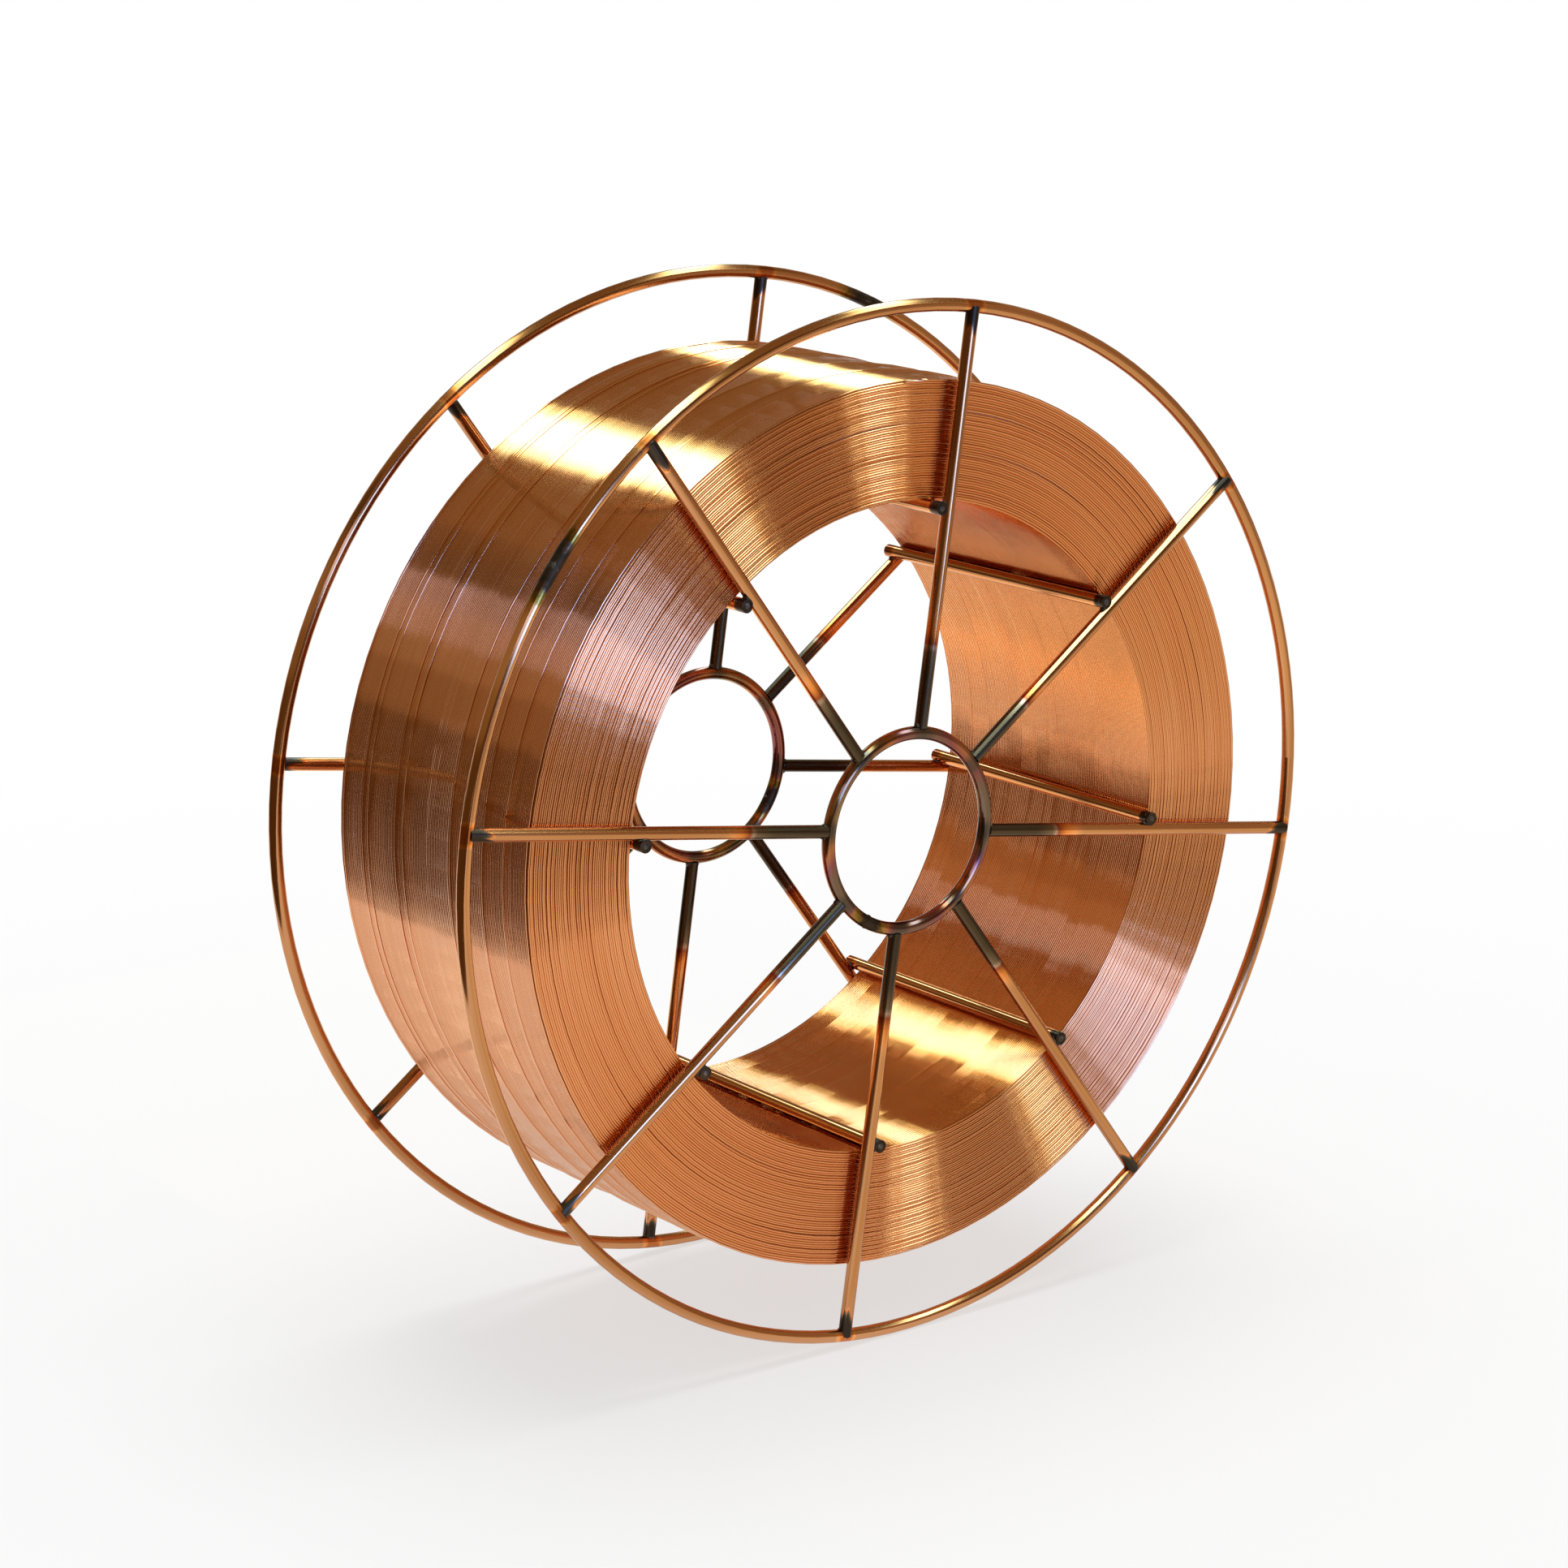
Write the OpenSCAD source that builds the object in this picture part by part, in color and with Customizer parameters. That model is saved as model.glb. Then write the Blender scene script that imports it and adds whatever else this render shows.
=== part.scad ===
// Welded wire-basket spool with its winding.
// The spool's axis is Y, the front flange faces -Y and +Z is up.
// The origin is the centre of the spool, on the axis and half way between the flanges.

/* [Spool] */
// Outer diameter of the two rim rings
rim_od = 300; // [240:1:400]
// Width over the outer faces of the spokes
spool_w = 101.5; // [60:0.5:160]
// Diameter of the wire that the cage is welded from
cage_wire_d = 3.8; // [2.5:0.1:5]
// Turn of the first spoke, clockwise from straight up as seen from the front
first_spoke_turn = 8.5; // [0:0.1:44.9]

/* [Hub] */
// Bore that the hub rings leave for the spindle
hub_bore_d = 52.6; // [30:0.1:80]

/* [Spokes and cross bars] */
// How far the spokes lie outboard of the rim rings, middle to middle
spoke_proud = 0.6; // [0.3:0.1:1.5]
// Diameter of the circle that the cross bars touch on its inside
bar_circle_d = 187.3; // [150:0.1:220]
// How deep one wire is pressed into the other at a weld
weld_sink = 0.5; // [0.2:0.05:0.8]
// How far the cut ends of the cross bars stop short of the spokes' outer faces
bar_end_inset = 0.3; // [0:0.05:1]

/* [Winding] */
// Outer diameter of the winding
winding_od = 255; // [225:1:290]
// Diameter of the wound wire
wound_wire_d = 0.8; // [0.6:0.1:1.6]
// Loops of the open outer layer
outer_turns = 24; // [6:1:24]
// Gap between each side of the winding and the spokes
winding_side_gap = 0.45; // [0.2:0.05:3]
// How deep the cross bars are bedded in the innermost turns
bed_depth = 0.3; // [0.1:0.05:0.6]
// Radius of the packed winding's edges
pack_edge_r = 1.2; // [0.4:0.1:3]
// Clearance between the packed turns and the open outer layer
outer_layer_clearance = 0.05; // [0.02:0.01:0.3]

/* [Hidden] */

front = -1;
rear = 1;
spoke_count = 8;
round_fn = 48;
ring_fn = 180;

cage_wire_r = cage_wire_d / 2;
rim_r = rim_od / 2 - cage_wire_r;
hub_r = hub_bore_d / 2 + cage_wire_r;
spoke_plane_y = spool_w / 2 - cage_wire_r;
rim_plane_y = spoke_plane_y - spoke_proud;

// A spoke starts sunk in the hub ring and ends over the middle of the rim wire.
spoke_start_r = hub_r + cage_wire_r - weld_sink;
spoke_end_r = rim_r;

// A cross bar lies beside its spoke, counter-clockwise of it as seen from the front.
bar_offset = cage_wire_d - weld_sink;
bar_middle_r = bar_circle_d / 2 - cage_wire_r;
bar_along_spoke = sqrt(pow(bar_middle_r, 2) - pow(bar_offset, 2));
bar_half_l = spool_w / 2 - bar_end_inset;

winding_in_r = bar_circle_d / 2 - bed_depth;
winding_half_w = spool_w / 2 - cage_wire_d - winding_side_gap;

// The outer layer is one helix, drawn with straight runs whose middles dip towards the axis.
rings_per_loop = 24;
tube_sides = 6;
wound_wire_r = wound_wire_d / 2;
layer_r = winding_od / 2 - wound_wire_r;
layer_half_w = winding_half_w - pack_edge_r;
pack_out_r = layer_r * cos(180 / rings_per_loop) - wound_wire_r - outer_layer_clearance;

// Turns what is drawn for straight up to the direction of spoke k, counted clockwise from the front.
module at_spoke(k) {
    rotate([0, first_spoke_turn + (k - 1) * 360 / spoke_count, 0]) children();
}

// A ring of cage wire round the axis.
module wire_ring(middle_r, y) {
    translate([0, y, 0])
        rotate([90, 0, 0])
            rotate_extrude($fn = ring_fn)
                translate([middle_r, 0])
                    circle(r = cage_wire_r, $fn = round_fn);
}

module rim(side) {
    color("peru") wire_ring(rim_r, side * rim_plane_y);
}

module hub_ring(side) {
    color("rosybrown") wire_ring(hub_r, side * spoke_plane_y);
}

// The uncut wire of spoke k.
module spoke_wire(side, k) {
    at_spoke(k)
        translate([0, side * spoke_plane_y, spoke_start_r])
            cylinder(h = spoke_end_r - spoke_start_r, r = cage_wire_r, $fn = round_fn);
}

// A spoke's ends are shaped to the rings that they are welded on.
module spoke(side, k) {
    color("chocolate") difference() {
        spoke_wire(side, k);
        wire_ring(hub_r, side * spoke_plane_y);
        wire_ring(rim_r, side * rim_plane_y);
    }
}

// The uncut wire of cross bar k.
module bar_wire(k) {
    at_spoke(k)
        translate([-bar_offset, bar_half_l, bar_along_spoke])
            rotate([90, 0, 0])
                cylinder(h = 2 * bar_half_l, r = cage_wire_r, $fn = round_fn);
}

// A cross bar is notched where it is pressed onto its two spokes.
module cross_bar(k) {
    color("sienna") difference() {
        bar_wire(k);
        spoke_wire(front, k);
        spoke_wire(rear, k);
    }
}

// The packed turns under the outer layer, bedded on the cross bars.
module wire_pack() {
    color("sandybrown") difference() {
        rotate([90, 0, 0])
            rotate_extrude($fn = ring_fn)
                difference() {
                    translate([winding_in_r, -winding_half_w])
                        square([pack_out_r - winding_in_r, 2 * winding_half_w]);
                    for (side = [front, rear]) outer_edge_waste(side);
                }
        for (k = [1:spoke_count]) bar_wire(k);
    }
}

// What rounding takes off one outer edge of the packed turns' section.
module outer_edge_waste(side) {
    translate([pack_out_r - pack_edge_r, side * (winding_half_w - pack_edge_r)])
        difference() {
            translate([0, side > 0 ? 0 : -2 * pack_edge_r])
                square(2 * pack_edge_r);
            circle(r = pack_edge_r, $fn = round_fn);
        }
}

// A point of the outer layer at a turn of the helix, counted in loops from the front.
function layer_point(loop, r) =
    [r * sin(360 * loop), layer_half_w * (2 * loop / outer_turns - 1), r * cos(360 * loop)];

// The helix, whose two ends stand on the packed turns: each leaves them square and straight for one
// wire diameter, then leans over into the first or the last loop.
// How much of the clearance to the packed turns is left under the ends.
foot_gap_share = 0.1;
// How far round the ends lean at their bend, as a share of the run between two of the tube's rings.
lean_share = 0.15;
// How far below the loops the bend lies, as a share of the wire's diameter.
bend_depth_share = 0.1;
stub_foot_r = pack_out_r + foot_gap_share * outer_layer_clearance;
end_lean = lean_share / rings_per_loop;
bend_r = layer_r - bend_depth_share * wound_wire_d;
function layer_end(loop, lean) = [
    layer_point(loop, stub_foot_r),
    layer_point(loop, stub_foot_r + wound_wire_d),
    layer_point(loop + lean, bend_r)
];
function reversed(list) = [for (i = [len(list) - 1:-1:0]) list[i]];
layer_route = concat(
    layer_end(0, end_lean),
    [for (i = [1:outer_turns * rings_per_loop - 1]) layer_point(i / rings_per_loop, layer_r)],
    reversed(layer_end(outer_turns, -end_lean))
);

function unit(v) = v / norm(v);
function last(list) = len(list) - 1;
// The way that a route runs at point i, which halves the corner there.
function heading(route, i) =
    i == 0 ? unit(route[1] - route[0]) :
    i == last(route) ? unit(route[i] - route[i - 1]) :
    unit(unit(route[i] - route[i - 1]) + unit(route[i + 1] - route[i]));
// A ring gets at most twice as wide, however sharp the corner is.
least_corner_cos = 0.5;
// How much wider a ring is across a corner, so that the tube keeps its thickness along both runs.
function miter(route, i) =
    i == 0 || i == last(route) ? 1 :
    1 / max(least_corner_cos, unit(route[i] - route[i - 1]) * heading(route, i));
// The tube's rings stand on the spool's own axis direction, which no part of the route follows.
function ring_point(route, i, j, r) =
    let (t = heading(route, i),
         b = unit([0, 1, 0] - t * ([0, 1, 0] * t)),
         n = cross(b, t),
         a = 360 * j / tube_sides)
    route[i] + r * (b * cos(a) + n * miter(route, i) * sin(a));

module tube(route, r) {
    ring_count = len(route);
    points = [for (i = [0:ring_count - 1]) for (j = [0:tube_sides - 1]) ring_point(route, i, j, r)];
    walls = [
        for (i = [0:ring_count - 2]) for (j = [0:tube_sides - 1])
            let (a = i * tube_sides + j, b = i * tube_sides + (j + 1) % tube_sides)
            each [[a, b, b + tube_sides], [a, b + tube_sides, a + tube_sides]]
    ];
    caps = [
        for (j = [1:tube_sides - 2])
            let (e = (ring_count - 1) * tube_sides)
            each [[0, j + 1, j], [e, e + j, e + j + 1]]
    ];
    polyhedron(points = points, faces = concat(walls, caps));
}

// The least gap between one loop of the route and the next, wire face to wire face.
least_gap = min([
    for (i = [0:last(layer_route)])
        for (j = [i + rings_per_loop / 2:min(i + rings_per_loop * 3 / 2, last(layer_route))])
            norm(layer_route[i] - layer_route[j])
]) - wound_wire_d;
echo(least_gap_between_outer_turns = least_gap);

module wire_outer_turns() {
    color("darkgoldenrod") tube(layer_route, wound_wire_r);
}

rim(front);  // front_rim
rim(rear);  // rear_rim
hub_ring(front);  // front_hub_ring
hub_ring(rear);  // rear_hub_ring
for (k = [1:spoke_count]) {
    spoke(front, k);
    spoke(rear, k);
    cross_bar(k);
}
wire_pack();
wire_outer_turns();
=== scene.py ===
# %% [markdown]
# # A welded wire-basket spool, full of welding wire
#
# A welding-wire spool is a cage of copper-coated steel wire. Two big rim rings and two small hub rings
# are joined by eight spokes on each side, and eight cross bars hold the two sides apart. About fifty
# layers of thin copper-coated wire are wound tightly on the cross bars.
#
# The cage comes from the CAD frame at its real size and only gets its finish here: bright drawn copper,
# burnt dark where each joint was resistance-welded. The winding is modelled here turn by turn, because
# its look is nothing but the way that thousands of fine wires mirror the lights.

# %% Load the frame
import bisect
import math
import random

import bmesh
import bpy
from mathutils import Matrix, Vector, noise


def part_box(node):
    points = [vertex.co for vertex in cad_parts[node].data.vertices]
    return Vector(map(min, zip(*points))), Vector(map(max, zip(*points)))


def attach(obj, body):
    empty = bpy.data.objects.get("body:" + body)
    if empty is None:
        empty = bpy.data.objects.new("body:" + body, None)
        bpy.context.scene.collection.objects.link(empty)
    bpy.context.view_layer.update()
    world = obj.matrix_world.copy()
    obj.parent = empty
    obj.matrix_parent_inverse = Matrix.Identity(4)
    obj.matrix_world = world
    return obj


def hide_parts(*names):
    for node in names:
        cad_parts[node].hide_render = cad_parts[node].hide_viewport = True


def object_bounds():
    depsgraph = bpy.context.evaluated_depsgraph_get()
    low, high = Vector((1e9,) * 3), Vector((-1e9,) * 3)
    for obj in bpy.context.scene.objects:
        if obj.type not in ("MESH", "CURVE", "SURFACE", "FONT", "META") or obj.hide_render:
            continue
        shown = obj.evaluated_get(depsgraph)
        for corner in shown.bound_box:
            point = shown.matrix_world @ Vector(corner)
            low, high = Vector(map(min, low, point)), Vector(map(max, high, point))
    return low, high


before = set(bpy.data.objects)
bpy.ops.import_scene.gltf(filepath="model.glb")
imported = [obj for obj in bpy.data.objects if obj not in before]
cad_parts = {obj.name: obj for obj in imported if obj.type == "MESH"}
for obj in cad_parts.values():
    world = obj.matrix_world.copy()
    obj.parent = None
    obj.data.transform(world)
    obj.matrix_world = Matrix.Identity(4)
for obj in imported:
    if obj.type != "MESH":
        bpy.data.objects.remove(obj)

cad_low, cad_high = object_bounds()
MM = 0.001
print("CAD box in mm:", [round(v / MM, 2) for v in (*cad_low, *cad_high)])

# %% [markdown]
# ## Sizes
#
# Every size is read from the frame, so the winding still fits the cage if the cage changes. A ring of wire
# is as thick as its box is deep, and its middle lies half a wire inside its outer edge. The spool's axis
# runs along Y. The front flange faces -Y.

# %% Read the sizes of the cage and of the winding's space
SPOKES = 8
SIDES = {"front": -1, "rear": 1}

rim_low, rim_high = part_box("front_rim")
cage_wire_r = (rim_high.y - rim_low.y) / 2
rim_r = rim_high.x - cage_wire_r
rim_y = -(rim_high.y + rim_low.y) / 2

hub_low, hub_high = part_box("front_hub_ring")
hub_r = hub_high.x - cage_wire_r
spoke_y = -(hub_high.y + hub_low.y) / 2

_, pack_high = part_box("wire_pack")
winding_half_w = pack_high.y
_, turns_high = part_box("wire_outer_turns")
winding_out_r = round(turns_high.x / MM * 2) * MM / 2

spoke_low, spoke_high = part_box("front_spoke_1")
spoke_turn = math.asin((spoke_low.x + spoke_high.x) / (spoke_low.z + spoke_high.z))
bar_low, bar_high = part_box("cross_bar_1")
bar_middle = Vector(((bar_low.x + bar_high.x) / 2, (bar_low.z + bar_high.z) / 2))
spoke_direction = Vector((math.sin(spoke_turn), math.cos(spoke_turn)))
bar_circle_r = bar_middle.length + cage_wire_r
print(f"cage wire {2 * cage_wire_r / MM:.2f}, rim {rim_r / MM:.2f}, hub {hub_r / MM:.2f}, "
      f"winding from {bar_circle_r / MM:.2f} to {winding_out_r / MM:.2f}, "
      f"first spoke turned {math.degrees(spoke_turn):.2f} degrees")

# %% [markdown]
# ## Camera
#
# The spool is seen from its left and a little above, at the distance of a table-top product shot. The
# camera's place is worked out from its two angles and its distance. Then it slides a few millimetres
# sideways in its own plane, which keeps its direction and needs no lens shift.

# %% Place the camera
CAMERA_AZIMUTH = math.radians(-37.069)
CAMERA_ELEVATION = math.radians(13.969)
CAMERA_DISTANCE = 1.1975
CAMERA_SLIDE = (-0.00538, 0.00381)
CAMERA_LENS_MM = 94.48
SENSOR_MM = 36


def camera_directions(azimuth, elevation):
    """The unit vectors that point to the camera's right, up and back."""
    back = Vector((math.sin(azimuth) * math.cos(elevation),
                   -math.cos(azimuth) * math.cos(elevation),
                   math.sin(elevation)))
    right = Vector((math.cos(azimuth), math.sin(azimuth), 0))
    return right, back.cross(right), back


right, up, back = camera_directions(CAMERA_AZIMUTH, CAMERA_ELEVATION)
camera_data = bpy.data.cameras.new("studio_camera")
camera_data.sensor_width = SENSOR_MM
camera_data.lens = CAMERA_LENS_MM
camera_data.clip_start = 0.05
camera_data.clip_end = 40
camera = bpy.data.objects.new("studio_camera", camera_data)
camera.location = back * CAMERA_DISTANCE + right * CAMERA_SLIDE[0] + up * CAMERA_SLIDE[1]
camera.rotation_mode = "QUATERNION"
camera.rotation_quaternion = (-back).to_track_quat("-Z", "Y")
bpy.context.scene.collection.objects.link(camera)
bpy.context.scene.camera = camera
print("camera at", [round(v, 4) for v in camera.location])

# %% [markdown]
# ## Helpers for shader nodes
#
# All finishes are built from nodes, so a few short helpers keep that readable. `add_node` makes a node and
# sets its properties and inputs in one call. An input is a plain value or another node's output socket.


# %% Make nodes with one call each
def add_node(tree, kind, inputs=None, **properties):
    """Adds a node of that kind. inputs maps a socket's name or number to a value or to an output."""
    node = tree.nodes.new(kind)
    for name, value in properties.items():
        setattr(node, name, value)
    for key, value in (inputs or {}).items():
        if isinstance(value, bpy.types.NodeSocket):
            tree.links.new(value, node.inputs[key])
        else:
            node.inputs[key].default_value = value
    return node


def calc(tree, operation, *values, clamp=False):
    """The output of a Math node that works on the values."""
    node = add_node(tree, "ShaderNodeMath", dict(enumerate(values)), operation=operation, use_clamp=clamp)
    return node.outputs[0]


def vector_calc(tree, operation, *values):
    """The output of a Vector Math node that works on the values."""
    node = add_node(tree, "ShaderNodeVectorMath", dict(enumerate(values)), operation=operation)
    return node.outputs["Value" if operation in ("LENGTH", "DISTANCE") else "Vector"]


def swing(tree, unsteady, amount, about=0.0, clamp=False):
    """Turns noise from 0 to 1 into a value that swings by the amount about another."""
    return calc(tree, "MULTIPLY_ADD", calc(tree, "SUBTRACT", unsteady, 0.5), amount, about, clamp=clamp)


def join_xyz(tree, x=0.0, y=0.0, z=0.0):
    """A vector from three values."""
    return add_node(tree, "ShaderNodeCombineXYZ", {0: x, 1: y, 2: z}).outputs[0]


def object_place(tree):
    """Object coordinates. A pattern that reads them stays where it is on its piece."""
    return add_node(tree, "ShaderNodeTexCoord").outputs["Object"]


def smooth_noise(tree, place, scale, detail=0.0):
    """Noise from 0 to 1 at a place."""
    return add_node(tree, "ShaderNodeTexNoise", {
        "Vector": place, "Scale": scale, "Detail": detail}).outputs["Fac"]


def mix_colour(tree, share, first, second):
    """The output of a Mix node between two colours. Its colour sockets are found by number."""
    return add_node(tree, "ShaderNodeMix", {0: share, 6: first, 7: second}, data_type="RGBA").outputs[2]


def smooth_range(tree, value, start, end, low=0.0, high=1.0):
    """A soft step of value from low at start to high at end."""
    node = add_node(tree, "ShaderNodeMapRange", interpolation_type="SMOOTHSTEP", inputs={
        "Value": value, "From Min": start, "From Max": end, "To Min": low, "To Max": high})
    return node.outputs["Result"]


def colour_ramp(tree, share, stops):
    """The colour output of a ramp with stops of (position, (red, green, blue))."""
    node = add_node(tree, "ShaderNodeValToRGB", {"Fac": share})
    elements = node.color_ramp.elements
    while len(elements) < len(stops):
        elements.new(0.5)
    for element, (position, colour) in zip(elements, stops):
        element.position = position
        element.color = (*colour, 1)
    return node.outputs["Color"]


# %% [markdown]
# ## Helpers for groups and materials
#
# `new_group` starts a node group with named inputs and outputs, and `put_out` ends it. `use_group` puts it
# to work in another tree. `new_material` starts a material on its one Principled shader.


# %% Start groups and materials
def new_group(name, inputs, outputs):
    """A node group with named sockets, its input node and its output node."""
    group = bpy.data.node_groups.new(name, "ShaderNodeTree")
    for label, kind in inputs.items():
        group.interface.new_socket(label, in_out="INPUT", socket_type="NodeSocket" + kind)
    for label, kind in outputs.items():
        group.interface.new_socket(label, in_out="OUTPUT", socket_type="NodeSocket" + kind)
    return group, group.nodes.new("NodeGroupInput"), group.nodes.new("NodeGroupOutput")


def use_group(tree, group, inputs=None):
    """Puts a node group into a tree."""
    return add_node(tree, "ShaderNodeGroup", inputs, node_tree=group)


def count_nodes(name, tree):
    print(f"{name}: {len(tree.nodes)} nodes")


def put_out(group, group_out, sockets):
    """Links each named output of a group to the socket that makes it."""
    for label, socket in sockets.items():
        group.links.new(socket, group_out.inputs[label])
    count_nodes(group.name, group)


def new_material(name, metallic=1.0):
    """A material with nodes, its tree and its Principled shader."""
    material = bpy.data.materials.new(name)
    material.use_nodes = True
    tree = material.node_tree
    shader = tree.nodes["Principled BSDF"]
    shader.inputs["Metallic"].default_value = metallic
    return material, tree, shader


# %% [markdown]
# ## Effect: where a point is, seen round the spool's axis
#
# Nearly every mark on the spool follows its wires, and its wires run round the axis or straight out from
# it. So the first node group turns Object coordinates into the angle clockwise from straight up and the
# radius. The objects all sit at the origin, so this holds for each of them.

# %% Group: round_the_axis
round_the_axis, group_in, group_out = new_group(
    "round_the_axis", {}, {"Angle": "Float", "Radius": "Float", "Across": "Float", "Place": "Vector"})
tree = round_the_axis
place = object_place(tree)
x, y, z = add_node(tree, "ShaderNodeSeparateXYZ", {0: place}).outputs
angle = calc(tree, "ARCTAN2", x, z)
radius = calc(tree, "SQRT", calc(tree, "ADD", calc(tree, "MULTIPLY", x, x), calc(tree, "MULTIPLY", z, z)))
put_out(tree, group_out, {"Angle": angle, "Radius": radius, "Across": y, "Place": place})

# %% [markdown]
# ## Effect: how far a point is from the nearest spoke
#
# Each spoke leaves a scorched patch on the ring that it is welded to. The angle is folded into one eighth
# of a turn round its nearest spoke, so that one pattern serves all eight joints. Beside is the same
# distance with a sign, and tells one side of a spoke's wire from the other.

# %% Group: nearest_spoke
nearest_spoke, group_in, group_out = new_group("nearest_spoke", {}, {"Distance": "Float", "Beside": "Float"})
tree = nearest_spoke
where = use_group(tree, round_the_axis)
pitch = 2 * math.pi / SPOKES
from_first = calc(tree, "SUBTRACT", where.outputs["Angle"], spoke_turn)
folded = calc(tree, "WRAP", from_first, pitch / 2, -pitch / 2)
beside = calc(tree, "MULTIPLY", folded, where.outputs["Radius"])
put_out(tree, group_out, {"Distance": calc(tree, "ABSOLUTE", beside), "Beside": beside})

# %% [markdown]
# ## Effect: drawn copper
#
# The wire gets a thin copper coat and is then drawn through a die, which leaves very fine lines along it
# and a slightly uneven tone. Both are noise that changes fast across the wire and slowly along it. The
# place across the wire comes in as a vector, because a rim and a spoke run different ways. The darkest and
# the palest copper come in too. The group puts out the copper's colour, a roughness, the uneven mask that
# both follow, and the height of the fine lines.

# %% Group: drawn_copper
drawn_copper, group_in, group_out = new_group(
    "drawn_copper",
    {"Across Wire": "Vector", "Dark": "Color", "Pale": "Color", "Tone Spread": "Float", "Roughness": "Float"},
    {"Color": "Color", "Roughness": "Float", "Uneven": "Float", "Height": "Float"})


def stretched_noise(tree, across_wire, along_per_metre, across_per_metre, detail):
    """Noise that runs slowly along a wire and fast across it."""
    slow = vector_calc(tree, "MULTIPLY", object_place(tree), [along_per_metre] * 3)
    both = vector_calc(tree, "MULTIPLY_ADD", across_wire, [across_per_metre] * 3, slow)
    return smooth_noise(tree, both, 1.0, detail)


tree = drawn_copper
across_wire = group_in.outputs["Across Wire"]
streaks = stretched_noise(tree, across_wire, 9, 620, 1.0)
patches = stretched_noise(tree, across_wire, 14, 70, 2.0)
uneven = calc(tree, "ADD", calc(tree, "MULTIPLY", streaks, 0.5), calc(tree, "MULTIPLY", patches, 0.5))
spread = swing(tree, uneven, group_in.outputs["Tone Spread"], 0.5, clamp=True)
copper = mix_colour(tree, spread, group_in.outputs["Dark"], group_in.outputs["Pale"])
ROUGHNESS_SPREAD = 0.04
rough = swing(tree, uneven, ROUGHNESS_SPREAD, group_in.outputs["Roughness"])
draw_lines = stretched_noise(tree, across_wire, 12, 3200, 0.0)
put_out(tree, group_out, {"Color": copper, "Roughness": rough, "Uneven": uneven, "Height": draw_lines})

# %% [markdown]
# ## Effect: heat tint
#
# Where the cage was welded, heat burnt the copper coat. Coming nearer to the joint, copper first turns
# orange, then dark red, then there is a narrow pale line, and past it the wire is a dull grey-brown that
# ends nearly black. The group takes a heat from 0 to 1 and lays those colours over the copper. The uneven
# mask makes the burn lighter here and darker there, as soot and scale are.

# %% Group: heat_tint
heat_tint, group_in, group_out = new_group(
    "heat_tint", {"Copper": "Color", "Roughness": "Float", "Uneven": "Float", "Heat": "Float"},
    {"Color": "Color", "Roughness": "Float"})
tree = heat_tint
heat = group_in.outputs["Heat"]
tint = colour_ramp(tree, heat, [
    (0.06, (0.86, 0.38, 0.15)), (0.28, (0.74, 0.25, 0.06)), (0.42, (0.30, 0.07, 0.025)),
    (0.47, (0.38, 0.25, 0.18)), (0.53, (0.17, 0.115, 0.070)), (0.74, (0.080, 0.055, 0.032)),
    (1.0, (0.050, 0.035, 0.024))])
MOTTLE = 3.2
shade = swing(tree, group_in.outputs["Uneven"], MOTTLE, 1.0)
mottled = vector_calc(tree, "MULTIPLY", tint, join_xyz(tree, shade, shade, shade))
over = smooth_range(tree, heat, 0.02, 0.20)
burnt_rough = smooth_range(tree, heat, 0.45, 1.0, 0.0, 0.18)
put_out(tree, group_out, {
    "Color": mix_colour(tree, over, group_in.outputs["Copper"], mottled),
    "Roughness": calc(tree, "ADD", group_in.outputs["Roughness"], burnt_rough)})

# %% [markdown]
# ## Effect: the burn at a butt weld
#
# Each ring is bent from a straight wire, and its two ends are pressed together and melted into one. That
# burn is longer and blacker than the one at a spoke. It ends in a ragged edge, past which the copper has
# the gold and green tints of a thin oxide. The group takes the distance from the weld along the ring.

# %% Group: butt_burn
butt_burn, group_in, group_out = new_group(
    "butt_burn", {"Color": "Color", "Roughness": "Float", "Distance": "Float"},
    {"Color": "Color", "Roughness": "Float"})
tree = butt_burn
distance = group_in.outputs["Distance"]
along = calc(tree, "DIVIDE", distance, 16 * MM)
tint = colour_ramp(tree, along, [
    (0.0, (0.055, 0.034, 0.020)), (0.30, (0.036, 0.024, 0.014)), (0.42, (0.10, 0.055, 0.030)),
    (0.54, (0.20, 0.12, 0.020)), (0.72, (0.42, 0.22, 0.055)), (0.95, (0.72, 0.30, 0.11))])
share = smooth_range(tree, distance, 15 * MM, 9 * MM)
burnt_rough = smooth_range(tree, distance, 9 * MM, 4 * MM, 0.0, 0.30)
put_out(tree, group_out, {
    "Color": mix_colour(tree, share, group_in.outputs["Color"], tint),
    "Roughness": calc(tree, "ADD", group_in.outputs["Roughness"], burnt_rough)})

# %% [markdown]
# ## Effect: how even the turns lie
#
# No winding is perfect. A few turns at a time lean a degree or so this way or that as they go round. It
# can't be seen as a height, but a mirror shows it: the edge of a reflected lamp jumps from one group of
# turns to the next. So the shading normal is leant a little along the wire. A one-dimensional Voronoi
# texture makes the groups, each with a number of its own, and slow noise leans each in its own way.

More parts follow.
